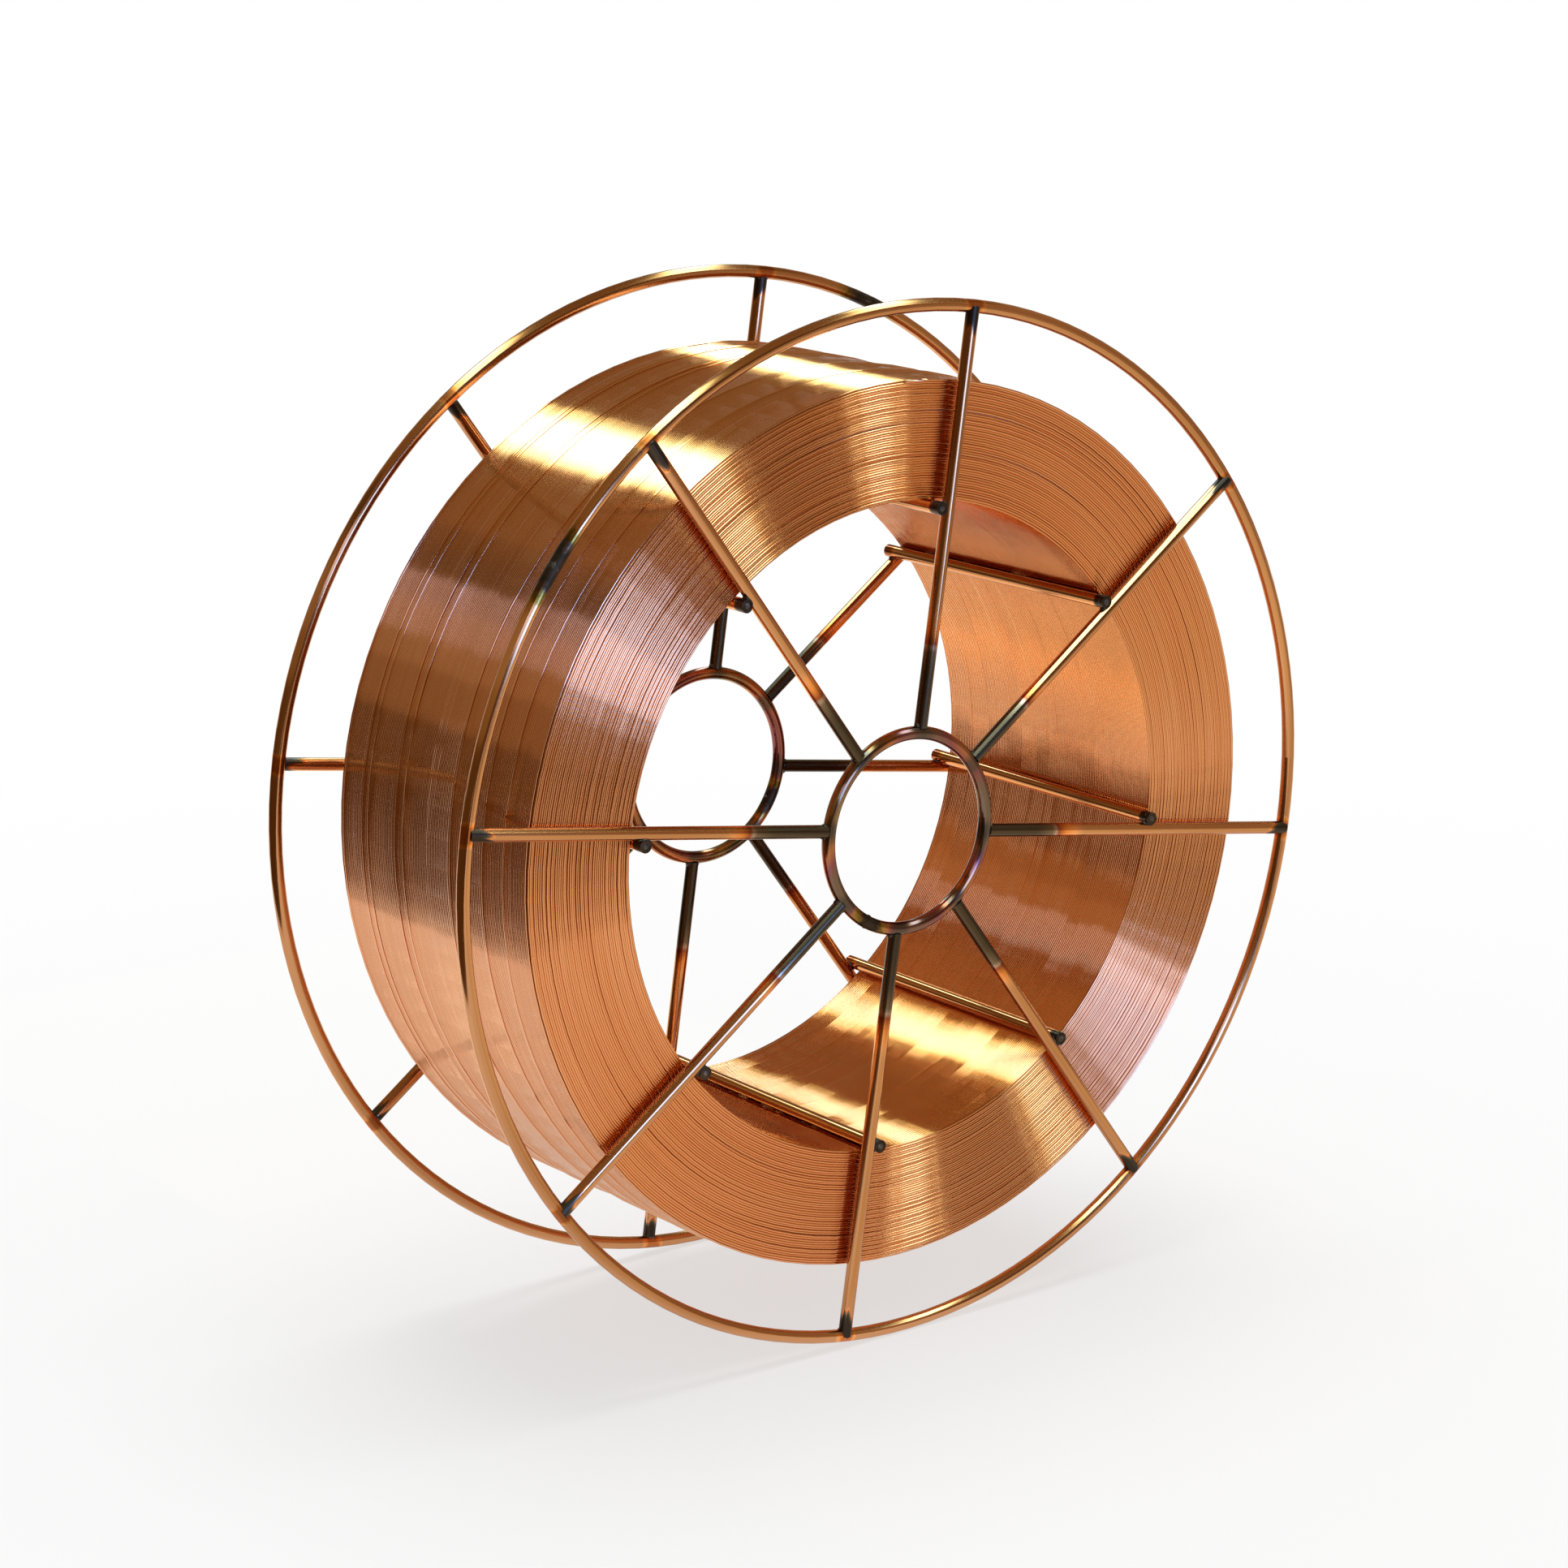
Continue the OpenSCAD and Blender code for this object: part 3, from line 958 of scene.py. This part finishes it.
# %% [markdown]
# ## Floor and studio
#
# The floor is plain and pale, and far from the spool it turns into the white of the world. Bright metal
# shows nothing but its surroundings, so the studio is built for it: two long bent lamps overhead, a cool
# window in front, and brown cards. Only reflections see them. The cards make the dark bands on the copper
# and the lamps make the bright ones. One plain lamp lights the floor and gives the soft shadow.


# %% Build the floor
def plain_rays(tree):
    """1 for rays from the camera, from a mirror or through glass, and 0 for all others."""
    path = add_node(tree, "ShaderNodeLightPath")
    return calc(tree, "MAXIMUM", path.outputs["Is Camera Ray"],
                calc(tree, "MAXIMUM", path.outputs["Is Glossy Ray"], path.outputs["Is Transmission Ray"]))


def soft_white_floor():
    material, tree, shader = new_material("pale_floor", metallic=0.0)
    away = vector_calc(tree, "LENGTH", object_place(tree))
    fade = smooth_range(tree, away, 0.12, 0.75, 0.62, 1.0)
    shader.inputs["Base Color"].default_value = (0.88, 0.88, 0.88, 1)
    shader.inputs["Roughness"].default_value = 0.9
    shader.inputs["Specular IOR Level"].default_value = 0.1
    white = add_node(tree, "ShaderNodeEmission", {"Color": (1, 1, 1, 1), "Strength": 1.0})
    mix = add_node(tree, "ShaderNodeMixShader", {
        0: calc(tree, "MULTIPLY", fade, plain_rays(tree)), 1: shader.outputs[0], 2: white.outputs[0]})
    tree.links.new(mix.outputs[0], tree.nodes["Material Output"].inputs["Surface"])
    return material


def stage_piece(bm, name, material):
    """Makes the bmesh an object of the studio, which isn't attached to the spool."""
    piece = new_piece(bm, name, material)
    return piece


def stage_plane(name, width, depth, material):
    bm = bmesh.new()
    bmesh.ops.create_grid(bm, x_segments=1, y_segments=1, size=0.5)
    bmesh.ops.scale(bm, vec=(width, depth, 1), verts=bm.verts)
    return stage_piece(bm, name, material)


FLOOR_SIZE = 24
floor_z = cad_low.z
floor = stage_plane("floor", FLOOR_SIZE, FLOOR_SIZE, soft_white_floor())
floor.location.z = floor_z
print(f"floor {FLOOR_SIZE} m wide at z {floor_z / MM:.2f} mm")


# %% Make cards that only reflections see
def glow_material(name, colour):
    material = bpy.data.materials.new(name)
    material.use_nodes = True
    tree = material.node_tree
    tree.nodes.clear()
    glow = add_node(tree, "ShaderNodeEmission", {"Color": (*colour, 1), "Strength": 1.0})
    out = add_node(tree, "ShaderNodeOutputMaterial")
    tree.links.new(glow.outputs[0], out.inputs["Surface"])
    return material


def only_in_reflections(piece):
    piece.visible_camera = False
    piece.visible_diffuse = False
    piece.visible_transmission = False
    piece.visible_shadow = False


def studio_card(name, centre, facing, width, depth, colour):
    """A flat glowing card at centre that faces the point facing."""
    card = stage_plane(name, width, depth, glow_material(name, colour))
    card.location = centre
    card.rotation_mode = "QUATERNION"
    card.rotation_quaternion = (Vector(facing) - Vector(centre)).to_track_quat("Z", "Y")
    only_in_reflections(card)
    print(f"{name}: {width} by {depth} m")
    return card


# %% Put the cards round the spool
ROOM = 4.0
CEILING = 3.1
ON_FLOOR = floor_z + 1 * MM
studio_card("ceiling_card", (0, 0, CEILING), (0, 0, 0), 2 * ROOM, 3 * ROOM, (0.25, 0.16, 0.065))
studio_card("left_card", (-ROOM, 0, 1.3), (0, 0, 1.3), 3 * ROOM, 4.0, (0.12, 0.07, 0.025))
studio_card("right_card", (ROOM, 0, 1.3), (0, 0, 1.3), 3 * ROOM, 4.0, (0.40, 0.28, 0.17))
studio_card("front_card", (0, -1.5 * ROOM, 1.3), (0, 0, 1.3), 2 * ROOM, 4.0, (0.13, 0.075, 0.032))
studio_card("back_card", (0, 1.5 * ROOM, 1.3), (0, 0, 1.3), 2 * ROOM, 4.0, (0.40, 0.32, 0.24))

# %% [markdown]
# ### Floor that only the metal sees
#
# The lower sides of the bars and the rims mirror the floor. In the mirror it is bright and warm near the
# spool and brown far off, so a card just above the floor fades with its distance from the spool.

# %% Lay the cards on the floor
floor_card = studio_card("front_floor_card", (1.5, -2.1, ON_FLOOR), (1.5, -2.1, 1), 3.2, 4.0, (1, 1, 1))
tree = floor_card.data.materials[0].node_tree
spool_foot = floor_card.matrix_basis.inverted() @ Vector((0, 0, floor_z))
far = smooth_range(tree, vector_calc(tree, "DISTANCE", object_place(tree), spool_foot), 0.55, 1.05)
tree.links.new(mix_colour(tree, far, (0.86, 0.78, 0.58, 1), (0.42, 0.34, 0.24, 1)),
               tree.nodes["Emission"].inputs["Color"])
LEFT_FLOOR_X = -2.36
studio_card("left_floor_card", (LEFT_FLOOR_X, 0, ON_FLOOR), (LEFT_FLOOR_X, 0, 1), 4.0, 8.0,
            (0.10, 0.055, 0.02))

# %% [markdown]
# ### Panes and walls
#
# The ridges on the spool's face mirror a narrow fan of the room in front of it. The two panes stand in that
# fan and give the copper a cool sheen. Their corners are directions, which is how a mirror sees them. The
# walls on the left have several tones, and the outer layer mirrors them as soft brown bands.


# %% Put up the panes in front
PANE_DISTANCE = 0.8


def seen_towards(aside, upwards):
    """The place on a pane in front of the spool that lies in the direction with those two parts."""
    forward = math.sqrt(1 - aside * aside - upwards * upwards)
    return Vector((aside / forward * PANE_DISTANCE, -PANE_DISTANCE, upwards / forward * PANE_DISTANCE))


def front_pane(name, outline, colour):
    """A glowing pane in front of the spool. outline holds its corners as directions from the middle."""
    bm = bmesh.new()
    bm.faces.new([bm.verts.new(seen_towards(aside, upwards)) for aside, upwards in outline])
    only_in_reflections(stage_piece(bm, name, glow_material(name, colour)))
    print(f"{name}: {len(outline)} corners")


front_pane("cool_window", [(0.36, -0.123), (0.36, -0.008), (0.04, 0.312), (-0.15, 0.315), (-0.15, 0.137)],
           (1.95, 4.1, 11.2))
front_pane("side_light", [(-0.17, 0.15), (-0.17, 0.32), (-0.57, 0.57), (-0.57, 0.37)], (1.2, 1.55, 2.75))

# %% Put up the last cards
LEFT_WALL_X = -ROOM + 0.05
studio_card("rear_floor_card", (0.01, 0.28, ON_FLOOR), (0.01, 0.28, 1), 0.24, 0.26, (1.6, 1.35, 0.95))
studio_card("high_wall", (LEFT_WALL_X, 0, 2.45), (0, 0, 2.45), 3 * ROOM, 1.3, (0.38, 0.28, 0.155))
studio_card("middle_wall", (LEFT_WALL_X, 0, 1.4), (0, 0, 1.4), 3 * ROOM, 0.8, (0.28, 0.19, 0.09))
studio_card("dark_beam", (-2.65, 0, CEILING - 0.05), (-2.65, 0, 0), 1.0, 3 * ROOM, (0.13, 0.08, 0.035))


# %% Hang the two bent lamps
LAMP_HEIGHT = 3.0
LAMP_WIDTH = 0.27 * LAMP_HEIGHT
LAMP_FROM = -1.4 * LAMP_HEIGHT
LAMP_TO = 1.7 * LAMP_HEIGHT
LAMP_WHITE = (3.7, 6.0, 7.6)
LAMP_EDGE = (2.8, 3.5, 1.7)


def lamp_material(name, middle_x, bend):
    """White in the middle of the lamp and golden along its two edges."""
    material = glow_material(name, (1, 1, 1))
    tree = material.node_tree
    x, y, _ = add_node(tree, "ShaderNodeSeparateXYZ", {0: object_place(tree)}).outputs
    middle = calc(tree, "MULTIPLY_ADD", calc(tree, "MULTIPLY", y, y), bend, middle_x)
    aside = calc(tree, "ABSOLUTE", calc(tree, "SUBTRACT", x, middle))
    share = smooth_range(tree, aside, LAMP_WIDTH / 2, LAMP_WIDTH / 5)
    colour = mix_colour(tree, share, (*LAMP_EDGE, 1), (*LAMP_WHITE, 1))
    tree.links.new(colour, tree.nodes["Emission"].inputs["Color"])
    return material


def bent_lamp(name, middle_x, bend):
    """A long lamp overhead that follows the parabola x = middle_x + bend * y squared."""
    bm = bmesh.new()
    bmesh.ops.create_grid(bm, x_segments=1, y_segments=24, size=0.5)
    for vert in bm.verts:
        y = LAMP_FROM + (vert.co.y + 0.5) * (LAMP_TO - LAMP_FROM)
        vert.co = (middle_x + bend * y * y + vert.co.x * LAMP_WIDTH, y, 0)
    lamp = stage_piece(bm, name, lamp_material(name, middle_x, bend))
    lamp.location.z = LAMP_HEIGHT
    only_in_reflections(lamp)
    print(f"{name}: {LAMP_WIDTH:.2f} m wide, {LAMP_HEIGHT} m up")


bent_lamp("left_lamp", -0.155 * LAMP_HEIGHT, 0.172 / LAMP_HEIGHT)
bent_lamp("right_lamp", 0.63 * LAMP_HEIGHT, 0.30 / LAMP_HEIGHT)

# %% Light the floor
lamp_data = bpy.data.lights.new("plain_lamp", "AREA")
lamp_data.shape = "SQUARE"
lamp_data.size = 1.6
lamp_data.energy = 34
plain_lamp = bpy.data.objects.new("plain_lamp", lamp_data)
plain_lamp.location = (0.3, 0.2, 2.2)
plain_lamp.visible_camera = False
plain_lamp.visible_glossy = False
bpy.context.scene.collection.objects.link(plain_lamp)
print("plain lamp at", [round(v, 2) for v in plain_lamp.location])

# %% Light the world
world = bpy.data.worlds.new("studio_world")
bpy.context.scene.world = world
world.use_nodes = True
tree = world.node_tree
PLAIN_LEVEL = 0.5
strength = calc(tree, "MULTIPLY_ADD", plain_rays(tree), 1 - PLAIN_LEVEL, PLAIN_LEVEL)
background = tree.nodes["Background"]
background.inputs["Color"].default_value = (1, 1, 1, 1)
tree.links.new(strength, background.inputs["Strength"])
world.cycles.sampling_method = "NONE"
bpy.context.scene.view_settings.view_transform = "Standard"
count_nodes("studio_world", tree)
